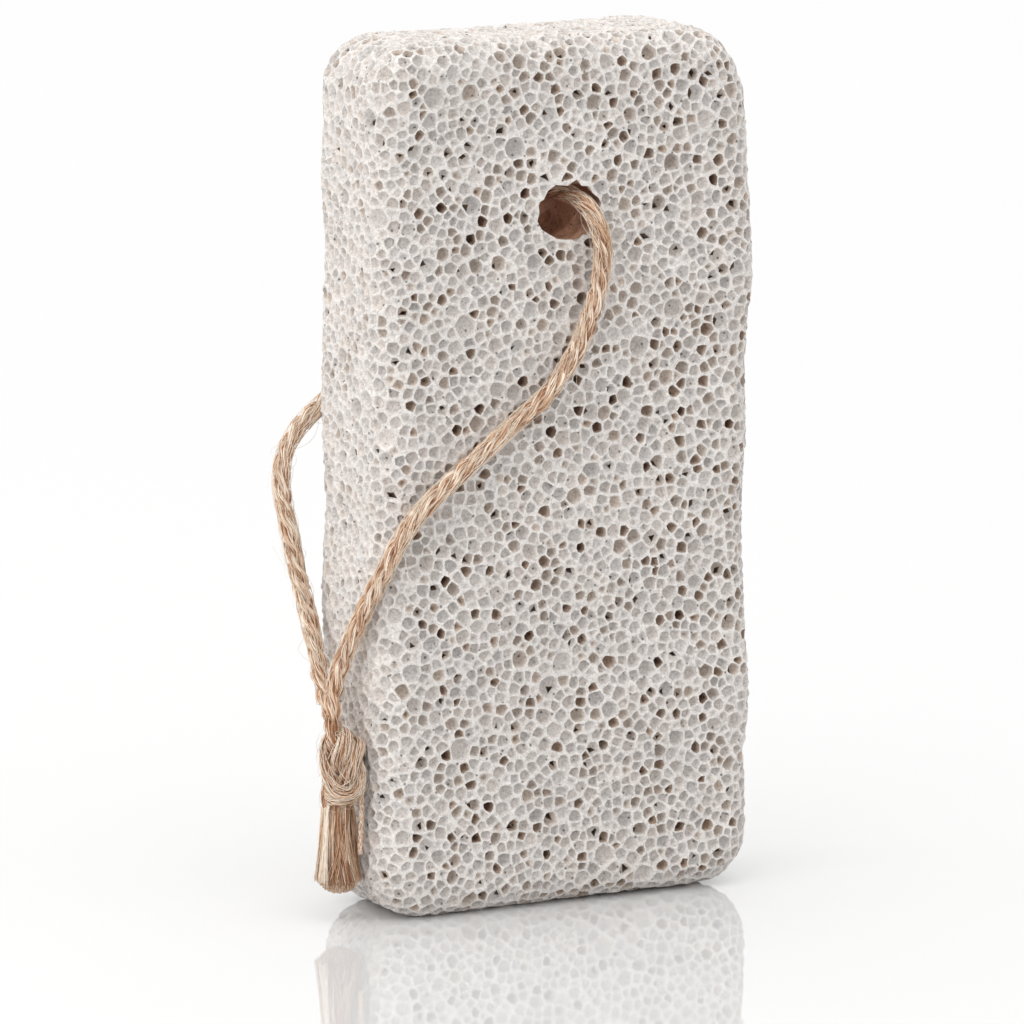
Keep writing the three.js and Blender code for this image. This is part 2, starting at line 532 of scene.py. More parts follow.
def doubled(line, gap):
    """Two lines side by side along one."""
    _, first, _ = frames_along(line)
    return [line + first * gap / 2, line - first * gap / 2]


def push_apart(points, owner, order, width):
    """How each point has to move for the strands to lie beside each other."""
    apart = points[:, None, :] - points[None, :, :]
    gap = np.linalg.norm(apart, axis=2)
    near = gap < width
    same = owner[:, None] == owner[None, :]
    along = np.abs(order[:, None] - order[None, :]) * KNOT_STEP
    near &= ~(same & (along < width * OWN_REACH))
    overlap = np.where(near, width - gap, 0.0)
    push = apart / np.maximum(gap, 1e-6)[:, :, None] * overlap[:, :, None]
    return push.sum(axis=1)


def tighten(strands, ends, width, rounds):
    """Draws the slack out of two strands until they lie hard against each other."""
    for turn in range(rounds):
        if turn % 10 == 0:
            strands = [even_steps(s, KNOT_STEP) for s in strands]
        points = np.vstack(strands)
        owner = np.repeat(np.arange(len(strands)), [len(s) for s in strands])
        order = np.concatenate([np.arange(len(s)) for s in strands])
        push = push_apart(points, owner, order, width)
        start = 0
        ease = max(0.25, 1 - turn / rounds)
        for k, strand in enumerate(strands):
            count = len(strand)
            own = push[start:start + count]
            pull = np.zeros_like(strand)
            pull[1:-1] = strand[:-2] + strand[2:] - 2 * strand[1:-1]
            push_in = np.clip(own, -FARTHEST_PUSH, FARTHEST_PUSH)
            strand = strand + KNOT_PULL * ease * pull + KNOT_PUSH * push_in
            strand = keep_in_barrel(strand, width)
            strand[0] = ends[k][0]
            strand[-1] = ends[k][1]
            strands[k] = strand
            start += count
    return strands


def keep_in_barrel(strand, width):
    """Moves points in towards the knot's axis where they would bulge too far."""
    offset = strand - KNOT_CENTRE
    across, deep, high = (offset / (KNOT_HALF - width / 2)).T
    size = (np.abs(across) ** 3 + np.abs(deep) ** 3) ** (1 / 3)
    size = np.where(np.abs(high) < BARREL_ENDS, size, 0)
    shrink = np.where(size > 1, 1 / np.maximum(size, 1), 1.0)
    shrink = 1 - (1 - shrink) * BARREL_EASE
    strand = strand.copy()
    strand[:, :2] = KNOT_CENTRE[:2] + offset[:, :2] * shrink[:, None]
    return strand


# ---- the twine

def level_ray(angle):
    """The level direction at each angle."""
    return np.c_[np.cos(angle), np.sin(angle), np.zeros(len(angle))]


def turned(first, second, angle):
    """The direction at an angle round a line, from its two side directions."""
    angle = np.reshape(angle, (-1, 1))
    return first * np.cos(angle) + second * np.sin(angle)


def sweep(line, guide, radius, sides):
    """A closed tube along a line: its corners, and its triangles."""
    along = unit(np.gradient(line, axis=0))
    first = unit(guide - np.sum(guide * along, axis=1, keepdims=True) * along)
    second = np.cross(along, first)
    angle = math.tau * np.arange(sides) / sides
    ring = first[:, None, :] * np.cos(angle)[:, None]
    ring = ring + second[:, None, :] * np.sin(angle)[:, None]
    radius = np.broadcast_to(radius, len(line))
    points = line[:, None, :] + ring * radius[:, None, None]
    side = np.arange(sides)
    after = (side + 1) % sides
    base = (np.arange(len(line) - 1) * sides)[:, None]
    a, b = base + side, base + after
    c, d = b + sides, a + sides
    walls = np.concatenate([np.stack([a, b, c], -1), np.stack([a, c, d], -1)])
    fan = np.arange(1, sides - 1)
    near = np.stack([np.zeros_like(fan), fan + 1, fan], -1)
    far = np.stack([np.zeros_like(fan), fan, fan + 1], -1) + (len(line) - 1) * sides
    return points.reshape(-1, 3), np.concatenate([walls.reshape(-1, 3), near, far])


def drift(reach, size, random):
    """A smooth wander along a fibre, about its own size either way."""
    total = np.zeros(len(reach))
    for wave in [random.uniform(*span) for span in DRIFT_WAVES]:
        total += np.sin(math.tau * reach / wave + random.uniform(*ALL_ROUND))
    return total * size / 2


class Strand:
    """One twine from the hole to its cut end."""

    def __init__(self, line, cut, phase):
        self.line = line
        self.cut = cut
        _, self.first, self.second = frames_along(line)
        self.reach = lengths_along(line)
        self.phase = phase
        left = np.clip((self.reach - self.reach[cut] + 2.5) / 3.5, 0, 1)
        ease = left * left * (3 - 2 * left)
        self.width = TWINE_DIAMETER + (KNOT_DRAWN - TWINE_DIAMETER) * ease
        self.width = self.width * (0.5 + 0.5 * np.clip((self.reach[-1] - self.reach) / 2.2, 0, 1))

    def across(self, angle):
        return turned(self.first, self.second, np.broadcast_to(angle, len(self.line)))


def lay_plies(strand, leg, knot, random):
    """Three plies of fibres, twisted together; what lies past the cut goes to the knot."""
    for ply in range(PLY_COUNT):
        turn = math.tau * ply / PLY_COUNT + strand.phase
        turn = turn - math.tau * strand.reach / PLY_PITCH + drift(strand.reach, 0.2, random)
        centre = strand.line + strand.across(turn) * (PLY_OFFSET * strand.width)[:, None]
        radius = (PLY_RADIUS + drift(strand.reach, 0.014, random)) * strand.width
        shade = random.uniform(0.1, 0.3) + drift(strand.reach, 0.24, random)
        # The ply's core is painted at the darkest jute tone: painted shade in the gaps between its
        # fibres.
        add_run(strand, centre, radius * CORE_SHARE, 6, 0.05, leg, knot)
        for fibre in range(FIBRES_PER_PLY):
            around = math.tau * fibre / FIBRES_PER_PLY + turn * FIBRE_TURN
            around = around + drift(strand.reach, 0.32, random)
            out = radius * FIBRES_OUT + drift(strand.reach, 0.075, random)
            line = centre + strand.across(around) * out[:, None]
            thick = FIBRE_RADIUS * random.uniform(0.6, 1.4) * strand.width / TWINE_DIAMETER
            tone = shade + random.uniform(0.0, 1.1) + drift(strand.reach, 0.12, random)
            add_run(strand, line, thick, 4, tone, leg, knot)


def add_run(strand, line, radius, sides, tone, leg, knot):
    """One fibre or core, cut between the leg's mesh and the knot's, and painted darker past the cut as
    painted shade in the knot.
    """
    radius = np.broadcast_to(radius, len(line))
    tone = np.broadcast_to(tone, len(line))
    past = np.arange(len(line)) - strand.cut
    # Painted shade: the strands darken past the cut, inside the knot.
    tone = tone - KNOT_PAINTED_SHADE * np.clip(past / DARKER_OVER + 0.5, 0, 1)
    for soup, span in ((leg, slice(0, strand.cut + 1)), (knot, slice(strand.cut, None))):
        soup.tube(line[span], strand.first[span], radius[span], sides, tone[span])


def strand_at(strand, at):
    """The strand's line, its two side directions and its width at some distances."""
    table = np.c_[strand.line, strand.first, strand.second, strand.width]
    rows = np.stack([np.interp(at, strand.reach, column) for column in table.T], axis=1)
    return rows[:, :3], rows[:, 3:6], rows[:, 6:9], rows[:, 9]


def add_hairs(strand, soup, count, span, random):
    """Hair-thin loose fibres that lift off the twine."""
    share = np.linspace(0, 1, 9)
    for _ in range(count):
        length = random.uniform(*HAIR_LENGTH)
        start = random.uniform(span[0], span[1] - length)
        centre, first, second, width = strand_at(strand, start + share * length)
        angle = random.uniform(*ALL_ROUND) - share * random.uniform(0.3, 2.2)
        lift = 0.12 + HAIR_LIFT * random.random() ** 2
        if random.random() < 0.5:
            height = np.sin(math.pi * share) * lift
        else:
            height = share ** 2 * lift if random.random() < 0.5 else (1 - share) ** 2 * lift
        out = (width / 2 - 0.06 + height)[:, None]
        line = centre + turned(first, second, angle) * out
        soup.tube(line, first, HAIR_RADIUS, 3, random.uniform(*HAIR_TONE))


def add_crossing_fibres(strand, soup, count, span, random):
    """Thin fibres that have worked loose and lie across the plies."""
    for _ in range(count):
        length = random.uniform(*CROSSING_LENGTH)
        start = random.uniform(span[0], span[1] - length)
        at = start + np.linspace(0, length, 16)
        centre, first, second, width = strand_at(strand, at)
        angle = random.uniform(*ALL_ROUND) + drift(at, 0.25, random)
        angle = angle + (at - start) * random.uniform(-0.3, 0.02)
        out = width / 2 * random.uniform(0.93, 1.03) + drift(at, 0.06, random)
        side = turned(first, second, angle)
        line = centre + side * out[:, None]
        thick = random.uniform(*CROSSING_THICK)
        soup.tube(line, side, thick, 3, random.uniform(*CROSSING_TONE))


def add_knot_strays(soup, count, random):
    """Short fibres lying every way over the outside of the knot."""
    for _ in range(count):
        start = unit(random.normal(size=3) * (1, 1, 0.7))
        heading = unit(np.cross(start, random.normal(size=3)))
        swept = np.linspace(0, random.uniform(0.35, 1.1), 12)
        out = 0.97 + drift(swept * 5, 0.02, random) + 0.05 * random.random()
        ray = np.outer(np.cos(swept), start) + np.outer(np.sin(swept), heading)
        line = KNOT_CENTRE + ray * KNOT_HALF * out[:, None]
        thick = random.uniform(*STRAY_THICK)
        soup.tube(line, ray, thick, 3, random.uniform(*STRAY_TONE))


def add_knot_wrap(soup, count, random):
    """The last turn of the knot: pale fibres that go round just above the tassel, browner as painted
    shade where they turn away from the key light.
    """
    for _ in range(count):
        middle = WRAP_FACING + random.uniform(-1.5, 1.2)
        turn = middle + np.linspace(-0.5, 0.5, 14) * random.uniform(1.2, 2.4)
        past = turn - WRAP_FACING
        inward = random.uniform(-0.35, 0.12)
        radius = WRAP_RADIUS + inward + drift(turn * 3, 0.04, random)
        high = WRAP_HEIGHT + WRAP_RISE * (1 - np.cos(past))
        high = high + random.normal(0, 0.42) + random.uniform(-0.3, 0.3) * past
        high = high + drift(turn * 4, 0.07, random)
        out = level_ray(turn)
        line = out * radius[:, None]
        line[:, :2] += KNOT_CENTRE[:2]
        line[:, 2] = high
        thick = random.uniform(*WRAP_THICK)
        # Painted shade: the wrap turns browner as it goes round away from the key light.
        painted_shade = 0.3 * np.clip(past + 0.3, 0, 1)
        soup.tube(line, out, thick, 3, random.uniform(*WRAP_TONE) - painted_shade)


def add_loose_ply(soup, random):
    """One crimped ply that hangs loose beside the tassel."""
    middle = curve_through(LOOSE_PLY, 0.16)
    reach = lengths_along(middle)
    for fibre in range(LOOSE_PLY_FIBRES):
        angle = fibre * GOLDEN_ANGLE
        away = 0.2 * math.sqrt((fibre + 0.5) / LOOSE_PLY_FIBRES)
        crimp = 0.1 * np.sin(reach * random.uniform(5.5, 8.0) + random.uniform(*ALL_ROUND))
        turn = angle + reach * 0.9
        line = middle + level_ray(turn) * away
        line[:, 0] += crimp
        line[:, 1] += 0.6 * crimp[::-1]
        last = len(line) - int(random.uniform(0, 5))
        guide = np.broadcast_to((1.0, 0.0, 0.0), line[:last].shape)
        thick = random.uniform(*LOOSE_PLY_THICK)
        soup.tube(line[:last], guide, thick, 4, random.uniform(*WRAP_TONE))


def knot_lines(tops):
    """The two strands' lines through the knot, from top to bottom."""
    centre = KNOT_CENTRE
    squat = centre[2] + (np.array([t[2] for t in tops]) - centre[2]) / KNOT_STRETCH
    tops = [np.array([t[0], t[1], z]) for t, z in zip(tops, squat)]
    low = centre[2] + (KNOT_TAIL_HEIGHT - centre[2]) / KNOT_STRETCH
    tails = [np.array([x, y, low]) for x, y in KNOT_TAILS]
    strands = [line + centre for line in doubled(even_steps(slack_knot(), KNOT_STEP), KNOT_STRAND)]
    if strands[0][-1][1] > strands[1][-1][1]:
        strands.reverse()
    starts = [(s[0].copy(), s[-1].copy()) for s in strands]
    for stage in range(KNOT_STAGES):
        share = (stage + 1) / KNOT_STAGES
        ends = [
            (tail * share + a * (1 - share), top * share + b * (1 - share))
            for (a, b), tail, top in zip(starts, tails, tops)
        ]
        strands = tighten(strands, ends, KNOT_STRAND, STAGE_ROUNDS)
    strands = tighten(strands, ends, KNOT_STRAND, KNOT_ROUNDS)
    drawn = []
    for strand in strands:
        strand = strand[::-1].copy()
        strand[:, 2] = centre[2] + (strand[:, 2] - centre[2]) * KNOT_STRETCH
        drawn.append(strand)
    return drawn


def make_strands():
    """Both twines, each from the middle of the hole, down its leg and through the knot."""
    route = curve_through(TWINE_ROUTE, TWINE_STEP)
    middle = int(np.argmin(np.abs(route[:, 1]) + np.where(route[:, 2] > 78, 0, 99)))
    front = route[:middle + 1][::-1]
    back = route[middle:]
    through = knot_lines([front[-1], back[-1]])
    strands = []
    for leg, inside, phase in ((front, through[0], 0.0), (back, through[1], 2.1)):
        joined = np.vstack([leg[:-2], blend_corner(leg, inside), inside[3:]])
        line = even_steps(joined, TWINE_STEP)
        cut = int(np.argmin(np.linalg.norm(line - leg[-1], axis=1)))
        strands.append(Strand(line, cut, phase))
    return strands


def blend_corner(leg, inside):
    """A few points that carry the leg smoothly into the knot."""
    before, after = leg[-3], inside[4]
    leaving, arriving = leg[-3] - leg[-6], inside[7] - inside[4]
    share = np.linspace(0.15, 0.85, 6)[:, None]
    h1 = 2 * share ** 3 - 3 * share ** 2 + 1
    h2 = share ** 3 - 2 * share ** 2 + share
    h3 = -2 * share ** 3 + 3 * share ** 2
    h4 = share ** 3 - share ** 2
    return before * h1 + leaving * h2 + after * h3 + arriving * h4


class Lock:
    """One lock of the tassel: where it leaves the knot, where it ends, and its tone, paler as painted
    light on the side the key light falls on.
    """

    def __init__(self, number, random):
        spread = math.sqrt((number + 0.5) / TASSEL_LOCKS)
        angle = number * GOLDEN_ANGLE + random.uniform(-0.25, 0.25)
        swing = angle + random.uniform(-1.1, 1.1)
        # Painted light: locks on the side toward the key light are made paler.
        side = math.cos(angle) * LIT_SIDE[0] + math.sin(angle) * LIT_SIDE[1]
        pale = LIT_SIDE_PAINTED_LIGHT * max(0.0, side * spread - 0.2)
        self.top = np.array([math.cos(angle), math.sin(angle)]) * spread * TASSEL_TOP
        self.low = np.array([math.cos(swing), math.sin(swing)]) * spread * TASSEL_SPREAD
        self.turn = np.array([-math.sin(angle), math.cos(angle)])
        self.tone = random.uniform(-0.1, 0.7) + pale
        self.bow = random.uniform(-0.6, 0.6)
        self.bend = random.uniform(0.9, 1.8)


def drawn_in(place, farthest):
    """A place across the tassel, moved in to the farthest it may lie from the middle."""
    return place * min(1.0, farthest / np.linalg.norm(place))


def add_lock_fibre(soup, lock, random):
    share = np.linspace(0, 1, LOCK_POINTS)
    top = lock.top + random.normal(0, 0.2, 2)
    low = lock.low + random.normal(0, 0.42, 2)
    low = drawn_in(low, TASSEL_SPREAD + 0.15)
    top = drawn_in(top, TASSEL_TOP + 0.1)
    flare = share ** lock.bend
    top = np.outer(np.clip(0.55 + share * 4.0, 0, 1), top)
    flat = (TASSEL_PLACE + top) * (1 - flare)[:, None]
    flat = flat + (TASSEL_PLACE + low) * flare[:, None]
    wave = np.sin(share * random.uniform(4, 9) + random.uniform(*ALL_ROUND)) * 0.11
    flat = flat + np.outer(wave + lock.bow * np.sin(math.pi * share), lock.turn)
    arch = TASSEL_ARCH * min(1.0, np.linalg.norm(low) / TASSEL_SPREAD) ** 2.2
    bottom = TASSEL_CUT + arch + random.uniform(0, 0.25) + 0.5 * (random.random() < 0.06)
    line = np.c_[flat, TASSEL_ROOT + (bottom - TASSEL_ROOT) * share]
    guide = np.broadcast_to(np.r_[lock.turn, 0.0], line.shape)
    thick = random.uniform(*TASSEL_THICK) * (1 - 0.3 * share)
    shade = lock.tone + random.uniform(-0.18, 0.18)
    shade = shade + 0.25 * np.sin(share * 5.0 + random.uniform(*ALL_ROUND))
    soup.tube(line, guide, thick, 4, shade)


def make_tassel(material, random):
    """The untwisted ends: locks of fine fibre that flare to an arched cut."""
    soup = Soup()
    for number in range(TASSEL_LOCKS):
        lock = Lock(number, random)
        for _ in range(FIBRES_PER_LOCK):
            add_lock_fibre(soup, lock, random)
    made = soup.piece("tassel_fibres", material)
    settle(made, "tassel")
    return made


def settle(made, node_name):
    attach(made, "root")
    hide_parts(node_name)


def make_twine(material):
    random = np.random.default_rng(TWINE_SEED)
    strands = make_strands()
    knot = Soup()
    legs = []
    for strand in strands:
        leg = Soup()
        lay_plies(strand, leg, knot, random)
        ends = (0.5, strand.reach[strand.cut])
        add_hairs(strand, leg, HAIRS_PER_LEG, ends, random)
        add_crossing_fibres(strand, leg, CROSSING_FIBRES, ends, random)
        ends = (strand.reach[strand.cut], strand.reach[-1])
        add_hairs(strand, knot, HAIRS_ON_KNOT, ends, random)
        add_crossing_fibres(strand, knot, CROSSING_FIBRES, ends, random)
        legs.append(leg)
    add_knot_strays(knot, STRAYS_ON_KNOT, random)
    add_knot_wrap(knot, WRAP_FIBRES, random)
    add_loose_ply(knot, random)
    knot_piece = knot.piece("knot_strands", material)
    settle(knot_piece, "knot")
    tassel_piece = make_tassel(material, random)
    for leg, strand, (name, mouth) in zip(legs, strands, TWINE_MOUTHS.items()):
        made = leg.piece(name, material)
        settle(made, "twine_loop")


# ---- the stone's form

def bar_distance(points):
    """Signed distance, in millimetres, from the plain rounded bar."""
    x, y = points[:, 0], points[:, 1]
    z = points[:, 2] - HEIGHT / 2
    top = np.where(x > 0, TOP_RIGHT_RADIUS, TOP_LEFT_RADIUS)
    corner = np.where(z > 0, top, BOTTOM_RADIUS)
    qx = np.abs(x) - WIDTH / 2 + corner
    qz = np.abs(z) - HEIGHT / 2 + corner
    outline = np.hypot(np.maximum(qx, 0), np.maximum(qz, 0)) - corner
    outline += np.minimum(np.maximum(qx, qz), 0)
    a = outline + LONG_EDGE_RADIUS
    b = np.abs(y) - THICKNESS / 2 + LONG_EDGE_RADIUS
    inside = np.minimum(np.maximum(a, b), 0)
    return inside + np.hypot(np.maximum(a, 0), np.maximum(b, 0)) - LONG_EDGE_RADIUS


def outward(points):
    """The bar's outward direction near each point."""
    step = 0.05
    slope = np.empty_like(points)
    for axis in range(3):
        nudge = np.zeros(3)
        nudge[axis] = step
        slope[:, axis] = bar_distance(points + nudge) - bar_distance(points - nudge)
    return unit(slope)


def onto_bar(points):
    for _ in range(3):
        points = points - bar_distance(points)[:, None] * outward(points)
    return points


def cube_of(spot):
    return tuple(int(value // DISC_CUBE) for value in spot)


class Discs:
    """Discs that don't overlap, filed by the cube each one lies in."""

    def __init__(self):
        self.cubes = {}
        self.places = []
        self.sizes = []

    def room_at(self, spot):
        """How far a spot is from the nearest disc."""
        x, y, z = spot
        cubes = [(number - 1, number, number + 1) for number in cube_of(spot)]
        room = FAR
        for cube in itertools.product(*cubes):
            for u, v, w, r in self.cubes.get(cube, ()):
                room = min(room, math.sqrt((x - u) ** 2 + (y - v) ** 2 + (z - w) ** 2) - r)
        return room

    def put(self, spot, size):
        self.cubes.setdefault(cube_of(spot), []).append((*spot, size))
        self.places.append(spot)
        self.sizes.append(size)


def trial_points(random):
    """Points all over the surface, and how far each is from the hole's edge."""
    half = np.array([WIDTH / 2, THICKNESS / 2, HEIGHT / 2])
    middle = np.array([0.0, 0.0, HEIGHT / 2])
    trial = random.uniform(middle - half - 1, middle + half + 1, (TRIAL_POINTS, 3))
    trial = onto_bar(trial[np.abs(bar_distance(trial)) < SKIN])
    in_hole = np.hypot(trial[:, 0], trial[:, 2] - HOLE_HEIGHT)
    wide_face = np.abs(np.abs(trial[:, 1]) - THICKNESS / 2) < 0.5
    hole_gap = np.where(wide_face, in_hole - HOLE_RADIUS, FAR)
    return trial.tolist(), hole_gap.tolist()


def scatter_pores(random):
    """Discs of mixed size packed over the whole surface, the hole's two mouths first."""
    trial, hole_gap = trial_points(random)
    discs = Discs()
    for side in (-1, 1):
        discs.places.append((0.0, side * THICKNESS / 2, HOLE_HEIGHT))
        discs.sizes.append(HOLE_RADIUS)
    at = 0
    for wanted, smallest, largest in PORE_SIZES:
        made = 0
        while made < wanted and at < len(trial):
            room = min(discs.room_at(trial[at]), hole_gap[at])
            size = random.uniform(smallest, largest)
            if room >= size:
                discs.put(trial[at], size)
                made += 1
            at += 1
    for spot, hole in zip(trial[at:], hole_gap[at:]):
        room = min(discs.room_at(spot), hole)
        if room >= SMALLEST_PORE:
            discs.put(spot, min(room, LARGEST_FILLER))
    return np.array(discs.places), np.array(discs.sizes)


def file_triangle(used, a, b, c):
    """Files each corner of a triangle under the directed edge across from it."""
    used[a, b], used[b, c], used[c, a] = c, a, b


def sphere_web(points):
    """A closed triangle web over the points, by way of a sphere seen from one of them."""
    centre = np.array([0.0, 0.0, HEIGHT / 2])
    scale = np.array([WIDTH, THICKNESS, HEIGHT]) / 2
    ball = unit((points - centre) / scale)
    pole = len(points) - 1
    n = ball[pole]
    a = unit(np.cross(n, [0.3, 0.8, 0.5]))
    b = np.cross(a, n)
    others = ball[:pole]
    flat = np.c_[others @ a, others @ b] / (1 - others @ n)[:, None]
    found = delaunay_2d_cdt([Vector(p) for p in flat.tolist()], [], [], 0, 1e-9)
    where = [originals[0] for originals in found[3]]
    faces = [[where[v] for v in face] for face in found[2]]
    used = {}
    for i, j, k in faces:
        file_triangle(used, i, j, k)
    for i, j in [edge for edge in used if (edge[1], edge[0]) not in used]:
        file_triangle(used, j, i, pole)
    return used


def flatten_pair(pa, pb, pc, pd):
    """Two triangles on one edge, opened flat: c above the edge and d below it."""
    ex, ey, ez = pb[0] - pa[0], pb[1] - pa[1], pb[2] - pa[2]
    length = math.sqrt(ex * ex + ey * ey + ez * ez)
    ex, ey, ez = ex / length, ey / length, ez / length
    flat = [length]
    for p in (pc, pd):
        ux, uy, uz = p[0] - pa[0], p[1] - pa[1], p[2] - pa[2]
        along = ux * ex + uy * ey + uz * ez
        square = ux * ux + uy * uy + uz * uz - along * along
        flat += [along, math.sqrt(max(square, 1e-12))]
    return flat


def power_centre(length, cx, cy, wa, wb, wc):
    """The point of equal power from a at (0, 0), b at (length, 0) and c at (cx, cy)."""
    x = (length * length + wa - wb) / (2 * length)
    y = (cx * cx + cy * cy + wa - wc - 2 * cx * x) / (2 * cy)
    return x, y


def settle_web(used, points, weights):
    """Flips edges until every pair of neighbouring triangles is well shaped."""
    points = points.tolist()
    weights = weights.tolist()
    waiting = [edge for edge in used if edge[0] < edge[1]]
    flips = 0
    while waiting and flips < MOST_FLIPS:
        a, b = waiting.pop()
        if (a, b) not in used:
            continue
        c, d = used[a, b], used[b, a]
        if (c, d) in used or (d, c) in used:
            continue
        flat = flatten_pair(points[a], points[b], points[c], points[d])
        length, cx, cy, dx, dy = flat
        crossing = cx + (dx - cx) * cy / (cy + dy)
        if not 0.01 * length < crossing < 0.99 * length:
            continue
        x, y = power_centre(length, cx, cy, weights[a], weights[b], weights[c])
        own = x * x + y * y - weights[a]
        other = (dx - x) ** 2 + (-dy - y) ** 2 - weights[d]
        if other >= own - 1e-6:
            continue
        del used[a, b], used[b, a]
        file_triangle(used, a, d, c)
        file_triangle(used, d, b, c)
        flips += 1
        waiting += [(a, d), (d, b), (b, c), (c, a)]


def list_triangles(used):
    """The web's triangles, and the triangle to the left of each directed edge."""
    triangles = []
    beside = {}
    for (a, b), c in used.items():
        if a < b and a < c:
            beside[a, b] = beside[b, c] = beside[c, a] = len(triangles)
            triangles.append((a, b, c))
    return np.array(triangles), beside


def meeting_points(triangles, points, weights):
    """Where the walls round each three neighbouring pores meet, on the surface."""
    pa, pb, pc = points[triangles.T]
    wa, wb, wc = weights[triangles.T]
    length = np.linalg.norm(pb - pa, axis=1)
    along = unit(pb - pa)
    cx = np.einsum("ij,ij->i", pc - pa, along)
    across = (pc - pa) - cx[:, None] * along
    cy = np.linalg.norm(across, axis=1)
    across = unit(across)
    x, y = power_centre(length, cx, cy, wa, wb, wc)
    return onto_bar(pa + x[:, None] * along + y[:, None] * across)


def rings_of(used, beside, count):
    """For each pore, its neighbours in order and the triangle after each of them."""
    first = {}
    for a, b in used:
        first.setdefault(a, b)
    rings = []
    for pore in range(count):
        neighbours = [first[pore]]
        following = used[pore, neighbours[0]]
        while following != neighbours[0]:
            neighbours.append(following)
            following = used[pore, following]
        rings.append((neighbours, [beside[pore, n] for n in neighbours]))
    return rings


def choose_short_walls(used, beside, nodes, rings):
    """Walls too short to draw: their two ends are drawn as one."""
    sides = [len(ring[0]) for ring in rings]
    lengths = []
    for a, b in used:
        if a < b:
            gap = np.linalg.norm(nodes[beside[a, b]] - nodes[beside[b, a]])
            lengths.append((gap, a, b))
    merged = set()
    longest = {}
    for gap, a, b in sorted(lengths):
        longest[a, b] = longest[b, a] = gap
        if gap < SHORTEST_WALL and sides[a] >= 5 and sides[b] >= 5:
            merged.add((a, b))
            merged.add((b, a))
            sides[a] -= 1
            sides[b] -= 1
    return merged, longest


class StoneMesh:
    """The stone's corners and triangles while it is built.

    A corner on a rim keeps its pore's number in rims; one on a floor has FLOOR
    there and one at the bottom of a shaft has DEEP. A triangle inside a pore has
    a tint, which it shows instead of the colour of its corners on the rim.
    """

    def __init__(self):
        self.points = []
        self.colours = []
        self.rims = []
        self.triangles = []
        self.tints = []

    def corner(self, point, colour, rim=FLOOR):
        self.points.append(point)
        self.colours.append(colour)
        self.rims.append(rim)
        return len(self.points) - 1

    def face(self, a, b, c, tint=NO_TINT):
        self.triangles.append((a, b, c))
        self.tints.append(tint)

    def quad(self, a, b, c, d, tint=NO_TINT):
        self.face(a, b, c, tint)
        self.face(a, c, d, tint)

    def corner_colours(self):
        """One colour for each corner of each triangle."""
        triangles = np.array(self.triangles)
        tints = np.array(self.tints)
        rims = np.array(self.rims)[triangles]
        colours = np.array(self.colours)[triangles]
        in_shaft = (rims == DEEP).any(axis=1)[:, None]
        shows_tint = (rims > FLOOR) | ((rims == FLOOR) & in_shaft)
        shows_tint &= tints[:, :1] >= 0
        return np.where(shows_tint[:, :, None], tints[:, None, :], colours)


def rim_spot(middle, centre, size, pulls, most, random):
    """A rim point, drawn in towards its pore and towards the circle the pore would fill."""
    inward = centre - middle
    pull = random.uniform(*pulls) / np.linalg.norm(inward)
    arm = middle + inward * min(pull, most) - centre
    reach = np.linalg.norm(arm)
    spare = max(0.0, reach - size * ROUND_SIZE)
    return centre + arm * (1 - ROUNDING * spare / reach)


def wall_groups(pore, neighbours, merged):
    """The places of a pore's walls, each with the undrawn walls that follow it."""
    count = len(neighbours)
    start = 0
    while (pore, neighbours[start]) in merged:
        start += 1
    groups = []
    for k in range(start, start + count):
        if (pore, neighbours[k % count]) in merged:
            groups[-1].append(k % count)
        else:
            groups.append([k % count])
    return groups


def make_rims(stone, rings, nodes, points, sizes, facing, merged, longest, random):
    """The open edge of every pore: returns its corners by triangle and by neighbour."""
    corner_of = {}
    middle_of = {}
    rims = []
    lift = random.uniform(-RIM_RISE, RIM_RISE, len(nodes))
    sag = {}
    for pore, (neighbours, after) in enumerate(rings):
        rim = []
        tone = RIM_COLOUR * random.uniform(*RIM_SHADE)
        circle = (points[pore], sizes[pore])
        middle_pull, corner_pull = (MOUTH_PULL, MOUTH_PULL) if pore < 2 else (MIDDLE_PULL, CORNER_PULL)
        for group in wall_groups(pore, neighbours, merged):
            other = neighbours[group[0]]
            edge = (min(pore, other), max(pore, other))
            before, here = nodes[after[group[0] - 1]], nodes[after[group[0]]]
            if longest[edge] > LONG_WALL:
                if edge not in sag:
                    sag[edge] = random.uniform(*WALL_SAG)
                spot = rim_spot((before + here) / 2, *circle, middle_pull, MOST_MIDDLE_PULL, random)
                made = stone.corner(spot + facing[pore] * sag[edge], tone, pore)
                middle_of[pore, other] = made
                rim.append((made, False))
            middle = sum(nodes[after[k]] for k in group) / len(group)
            spot = rim_spot(middle, *circle, corner_pull, MOST_CORNER_PULL, random)
            rise = lift[after[group[0]]]
            made = stone.corner(spot + facing[pore] * rise, tone, pore)
            corner_of.update({(pore, after[k]): made for k in group})
            rim.append((made, True))
        rims.append(rim)
    return corner_of, middle_of, rims


def make_walls(stone, used, beside, triangles, merged, corner_of, middle_of):
    """The flat tops of the walls between the pores."""
    for number, (a, b, c) in enumerate(triangles.tolist()):
        stone.face(corner_of[a, number], corner_of[b, number], corner_of[c, number])
    for a, b in used:
        if a > b or (a, b) in merged:
            continue
        above, below = beside[a, b], beside[b, a]
        a1, a2 = corner_of[a, above], corner_of[a, below]
        b1, b2 = corner_of[b, above], corner_of[b, below]
        if (a, b) in middle_of:
            am, bm = middle_of[a, b], middle_of[b, a]
            stone.quad(a2, b2, bm, am)
            stone.quad(am, bm, b1, a1)
        else:
            stone.quad(a2, b2, b1, a1)


